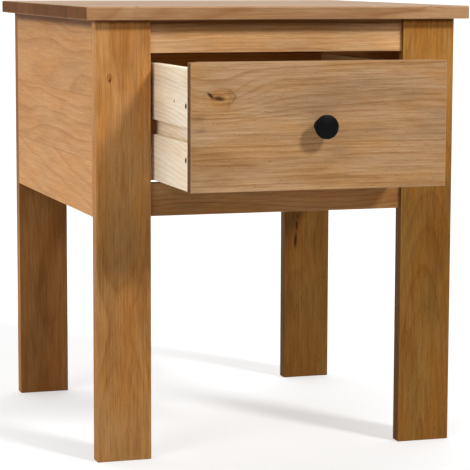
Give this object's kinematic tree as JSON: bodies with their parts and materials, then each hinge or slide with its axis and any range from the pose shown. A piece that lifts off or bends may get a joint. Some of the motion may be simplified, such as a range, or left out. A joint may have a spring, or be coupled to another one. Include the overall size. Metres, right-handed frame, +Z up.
{
  "type": "nightstand with drawer",
  "caption": "Pine nightstand on plank legs, with a thin overhanging top, panelled sides and back, and a drawer with a round black knob that slides on wooden runners.",
  "frame": {"origin": "on the floor, under the centre of the box that the stand and its part-open drawer fill", "axes": "+X to the right of a person facing the drawer, +Y towards the back, +Z up"},
  "size_m": [0.49, 0.649, 0.55],
  "materials": {
    "waxed_pine": "honey-brown wax, satin",
    "bare_pine": "planed and unfinished",
    "plywood": "thin sheet, unfinished",
    "beech": "turned dowel, unfinished",
    "black_knob": "satin black",
    "zinc_steel": "zinc plated",
    "dark_steel": "browned"
  },
  "bodies": {
    "stand": {"top_board": "waxed_pine", "front_leg_left": "waxed_pine", "front_leg_right": "waxed_pine", "back_leg_left": "waxed_pine", "back_leg_right": "waxed_pine", "side_panel_left": "waxed_pine", "side_panel_right": "waxed_pine", "back_panel": "waxed_pine", "upper_rail": "waxed_pine", "lower_rail": "waxed_pine", "guide_rail_left": "waxed_pine", "guide_rail_right": "waxed_pine", "drawer_runner_left": "waxed_pine", "drawer_runner_right": "waxed_pine", "corner_blocks": "bare_pine", "rail_dowels": "beech", "side_dowels": "beech", "guide_dowels": "beech", "back_dowels": "beech", "block_screws": "zinc_steel", "runner_screws": "zinc_steel"},
    "drawer": {"drawer_front": "waxed_pine", "drawer_side_left": "bare_pine", "drawer_side_right": "bare_pine", "drawer_back": "bare_pine", "drawer_bottom": "plywood", "drawer_knob": "black_knob", "knob_screw": "zinc_steel", "drawer_screws": "dark_steel", "bottom_brads": "zinc_steel"}
  },
  "joints": [
    {"name": "drawer_slide", "type": "slide", "parent": "stand", "child": "drawer", "axis": [0, -1, 0], "range_m": [-0.149, 0.148]}
  ]
}
